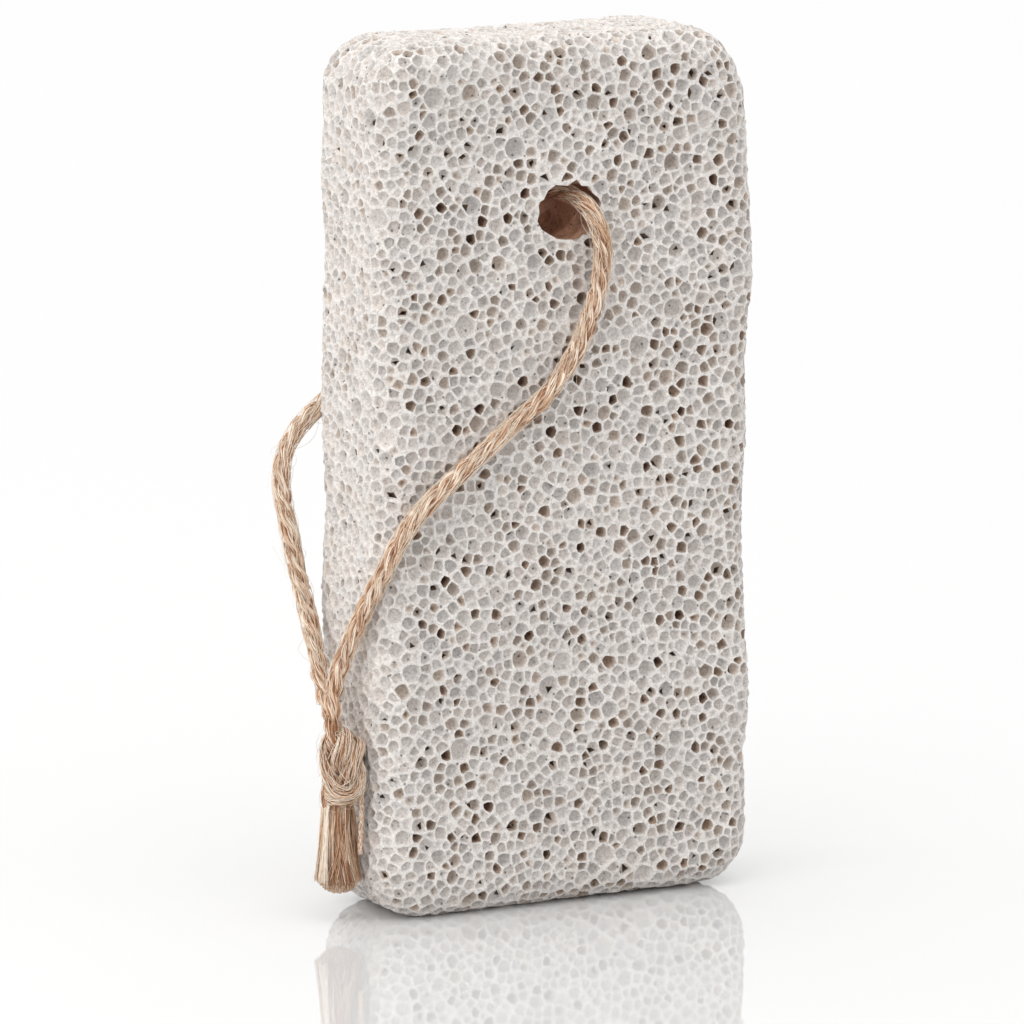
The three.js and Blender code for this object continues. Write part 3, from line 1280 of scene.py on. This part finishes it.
def make_bowl(stone, rim, centre, outside, size, crowded, random):
    """The hollow of one pore below its rim; tells whether it is a dark one."""
    ids = [corner for corner, _ in rim]
    # The look's colours get darker from side to floor: painted shade in the hollow.
    look = choose_look(centre, size, crowded, random)
    if size < CONE_SIZE:
        tip = stone.corner(centre - outside * look.depth, look.floor)
        for k, corner in enumerate(ids):
            stone.face(corner, ids[(k + 1) % len(ids)], tip, look.side)
        return look.dark
    floor = {}
    drop = outside * look.depth
    for corner, is_corner in rim:
        if is_corner:
            edge = stone.points[corner]
            spot = edge + (centre - edge) * look.taper - drop
            floor[corner] = stone.corner(spot, look.edge)
    join_rim_to_floor(stone, rim, floor, look)
    inner = list(floor.values())
    if look.flat and size < FLAT_SIZE:
        for k in range(1, len(inner) - 1):
            stone.face(inner[0], inner[k], inner[k + 1])
        return look.dark
    base = stone.corner(centre - drop * look.dish, look.floor)
    make_pore_floor(stone, inner, base, centre, outside, random)
    return look.dark


def join_rim_to_floor(stone, rim, floor, look):
    """The steep side of a pore."""
    count = len(rim)
    start = next(k for k in range(count) if rim[k][1])
    k = 0
    while k < count:
        here = rim[(start + k) % count][0]
        following, is_corner = rim[(start + k + 1) % count]
        if is_corner:
            stone.quad(here, following, floor[following], floor[here], look.side)
            k += 1
        else:
            last = rim[(start + k + 2) % count][0]
            stone.face(here, following, floor[here], look.side)
            stone.face(following, floor[last], floor[here], look.side)
            stone.face(following, last, floor[last], look.side)
            k += 2


def make_pore_floor(stone, inner, base, centre, outside, random):
    """A shallow dish, in some pores with a narrow shaft at one side, painted near-black as the shade
    deep inside it.
    """
    count = len(inner)
    first, wide = -1, 0
    if random.random() < SHAFT_SHARE:
        first = int(random.integers(count))
        wide = int(random.integers(1, 3))
    shaft = [(first + k) % count for k in range(wide)]
    if shaft:
        ends = [inner[k] for k in shaft] + [inner[(shaft[-1] + 1) % count]]
        middle = sum(stone.points[corner] for corner in ends) / len(ends)
        aside = (middle - centre) * 0.5
        aside = aside - outside * aside.dot(outside)
        spot = middle + aside - outside * random.uniform(*SHAFT_DEPTH)
        # The shaft's bottom and the faces round it are painted shade.
        deep = stone.corner(spot, SHAFT_PAINTED_SHADE, DEEP)
        stone.face(ends[-1], base, deep, SHAFT_EDGE_PAINTED_SHADE)
        stone.face(base, ends[0], deep, SHAFT_EDGE_PAINTED_SHADE)
    for k, corner in enumerate(inner):
        following = inner[(k + 1) % count]
        if k in shaft:
            stone.face(corner, following, deep, SHAFT_EDGE_PAINTED_SHADE)
        else:
            stone.face(corner, following, base)


def from_lowest_angle(stone, ids, turn):
    """The corners round the hole from its lowest angle on, with their rising angles."""
    spots = np.array([stone.points[corner] for corner in ids])
    angle = turn * np.arctan2(spots[:, 2] - HOLE_HEIGHT, spots[:, 0]) % (math.tau)
    first = int(np.argmin(angle))
    angle = np.unwrap(np.roll(angle, -first)).tolist()
    return ids[first:] + ids[:first], angle + [angle[0] + math.tau]


def join_loops(stone, outer, inner, turn):
    """Triangles between an open rim and a ring of the bore, both going round one way."""
    outer, outer_angle = from_lowest_angle(stone, outer, turn)
    inner, inner_angle = from_lowest_angle(stone, inner, turn)
    i, j = 0, 0
    while i < len(outer) or j < len(inner):
        here, there = outer[i % len(outer)], inner[j % len(inner)]
        if j == len(inner) or (i < len(outer) and outer_angle[i + 1] < inner_angle[j + 1]):
            stone.face(here, outer[(i + 1) % len(outer)], there)
            i += 1
        else:
            stone.face(here, inner[(j + 1) % len(inner)], there)
            j += 1


def make_bore(stone, front_rim, back_rim, random):
    """The drilled hole, its wall broken by the pores it cuts through; the wall is painted brown as
    shade tinted by warm bounced light, and painted lighter towards the middle.
    """
    rounds = math.tau * np.arange(BORE_SIDES) / BORE_SIDES
    levels = np.linspace(-THICKNESS / 2 + BORE_INSET, THICKNESS / 2 - BORE_INSET, BORE_RINGS)
    pits = np.c_[random.uniform(0, math.tau, BORE_PITS), random.uniform(-9, 9, BORE_PITS)]
    pit_tone = random.uniform(0.0, 1.0, BORE_PITS)
    rings = []
    for level in levels:
        ring = []
        for angle in rounds + random.uniform(-0.03, 0.03):
            round_gap = (angle - pits[:, 0] + math.pi) % (math.tau) - math.pi
            gap = np.hypot(round_gap * HOLE_RADIUS, level - pits[:, 1])
            nearest = int(np.argmin(gap))
            hollow = max(0.0, 1 - (gap[nearest] / PIT_RADIUS) ** 2)
            radius = HOLE_RADIUS - BORE_NARROWER + PIT_DEPTH * hollow
            radius += random.uniform(-BORE_ROUGHNESS, BORE_ROUGHNESS)
            # Painted shade: the bore's pits are darker the deeper they are, each by a random share.
            shade = 1.0 - PIT_PAINTED_SHADE * hollow * pit_tone[nearest]
            spot = np.array([
                radius * math.cos(angle), level, HOLE_HEIGHT + radius * math.sin(angle),
            ])
            # Painted shade at the mouths, painted light deeper in: the wall is painted lighter towards
            # the bore's middle.
            deep = 1 - (abs(level) / levels[-1]) ** 4
            tone = MOUTH_PAINTED_SHADE + (DEEP_BORE_PAINTED_LIGHT - MOUTH_PAINTED_SHADE) * deep
            ring.append(stone.corner(spot, tone * shade))
        rings.append(ring)
    for near, far in zip(rings, rings[1:]):
        for k in range(BORE_SIDES):
            after = (k + 1) % BORE_SIDES
            stone.quad(near[k], near[after], far[after], far[k])
    join_loops(stone, [corner for corner, _ in front_rim], rings[0], 1)
    join_loops(stone, [corner for corner, _ in back_rim], rings[-1][::-1], -1)


def swell(points, random):
    """How far the worn surface stands proud of the plain bar at each point."""
    total = np.zeros(len(points))
    for _ in range(WAVES):
        wave = unit(random.normal(size=3)) * math.tau / random.uniform(*WAVE_LENGTH)
        total += WAVE_HEIGHT * np.sin(points @ wave + random.uniform(0, math.tau))
    right = np.clip((points[:, 0] - RIGHT_SIDE_STARTS) / RIGHT_SIDE_BLEND, 0, 1)
    for height, level, spread in RIGHT_SIDE_SWELLS:
        total += right * height * np.exp(-((points[:, 2] - level) / spread) ** 2)
    return total


def break_mouth(points):
    """The front of the hole is chipped wider, most of all on its left."""
    x, z = points[:, 0], points[:, 2] - HOLE_HEIGHT
    far = np.hypot(x, z) + 1e-6
    fade = np.clip((MOUTH_REACH - far) / (MOUTH_REACH - HOLE_RADIUS), 0, 1) ** 2
    front = np.clip(0.5 - points[:, 1] / THICKNESS, 0, 1)
    wide = np.where(x < 0, -MOUTH_BREAK[0], MOUTH_BREAK[1])
    moved = points.copy()
    moved[:, 0] += wide * (x / far) ** 2 * fade * front
    return moved


class Look:
    """The depth, slope and colours of one pore; the colours darken from side to floor as painted
    shade.
    """

    def __init__(self, depth, taper, dish, colours, shade, flat):
        self.depth = depth
        self.taper = taper
        self.dish = dish
        self.side = colours[0] * shade
        self.edge = colours[1] * shade
        self.floor = colours[2] * shade
        self.flat = flat
        self.dark = self.floor[0] < DARK_FLOOR


def paleness(centre):
    """Toward the left side and the top: more pale shallow pores, fewer dark ones."""
    left = min(max((-PALE_LEFT_STARTS - centre[0]) / PALE_BLEND, 0.0), 1.0)
    top = min(max((centre[2] - HEIGHT + PALE_BLEND) / PALE_BLEND, 0.0), 1.0)
    return max(left, top * TOP_PALENESS)


def choose_look(centre, size, crowded, random):
    """Mostly shallow grey pans, some beige hollows, and a few deep brown holes, their colours darkened
    towards the floor as painted shade.
    """
    pale = paleness(centre)
    chance = random.random() - max(0.0, size - 0.5) * 0.5
    chance = chance * (1 - pale * PALE_PORES) * (CROWDED if crowded else 1.0)
    warmth = random.uniform(*PORE_WARMTH)
    tint = np.array([1 + warmth, 1.0, 1 - warmth])
    # Pores toward the left side and the top are made lighter.
    shade = random.uniform(*PORE_SHADE) * (1 + PALE_SHADE * pale) * tint
    scale = 0.4 + size * 0.7
    _, depths, tapers, dish, colours = next(kind for kind in PORE_KINDS if chance < kind[0])
    depth = random.uniform(*depths) * scale
    flat = colours is GREY_PORE and random.random() > SHAFT_SHARE
    return Look(depth, random.uniform(*tapers), dish, colours, shade, flat)


def mark_sharp_rims(mesh, rims):
    """The edge between a wall's top and the hollow beside it stays crisp."""
    ends = np.empty(len(mesh.edges) * 2, np.int32)
    mesh.edges.foreach_get("vertices", ends)
    ends = ends.reshape(-1, 2)
    rims = np.array(rims)
    sharp = (rims[ends[:, 0]] >= 0) & (rims[ends[:, 0]] == rims[ends[:, 1]])
    mesh.edges.foreach_set("use_edge_sharp", sharp)


def paint_pores(mesh, colours):
    """Stores a colour for each corner of each triangle, for the material to read."""
    layer = mesh.color_attributes.new("pore_colour", "FLOAT_COLOR", "CORNER")
    flat = colours.reshape(-1, 3)
    rgba = np.c_[flat, np.ones(len(flat))].astype(np.float32)
    layer.data.foreach_set("color", rgba.ravel())


def make_stone(material):
    random = np.random.default_rng(STONE_SEED)
    points, sizes = scatter_pores(random)
    used = sphere_web(points)
    weights = sizes ** 2
    settle_web(used, points, weights)
    triangles, beside = list_triangles(used)
    nodes = meeting_points(triangles, points, weights)
    nodes = nodes + random.normal(0, NODE_JITTER, nodes.shape)
    rings = rings_of(used, beside, len(points))
    merged, longest = choose_short_walls(used, beside, nodes, rings)
    facing = outward(points)
    stone = StoneMesh()
    wanted = sizes.copy()
    wanted[:2] = HOLE_RADIUS * 2
    corner_of, middle_of, rims = make_rims(
        stone, rings, nodes, points, wanted, facing, merged, longest, random)
    make_walls(stone, used, beside, triangles, merged, corner_of, middle_of)
    dark = set()
    for pore in range(2, len(points)):
        crowded = any(other in dark for other in rings[pore][0])
        if make_bowl(
            stone, rims[pore], points[pore], facing[pore], sizes[pore], crowded, random,
        ):
            dark.add(pore)
    make_bore(stone, rims[0], rims[1], random)
    corners = break_mouth(np.array(stone.points))
    corners += outward(corners) * swell(corners, random)[:, None]
    corners[:, 2] = np.maximum(corners[:, 2], 0.0)
    made = mesh_piece("pumice_stone", corners, np.array(stone.triangles), material)
    mark_sharp_rims(made.data, stone.rims)
    paint_pores(made.data, stone.corner_colours())
    settle(made, "stone")


# ---- the scene

def main():
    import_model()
    make_camera()
    make_twine(jute_material())
    make_world()
    make_lights()
    make_floor()
    make_stone(pumice_material())


main()
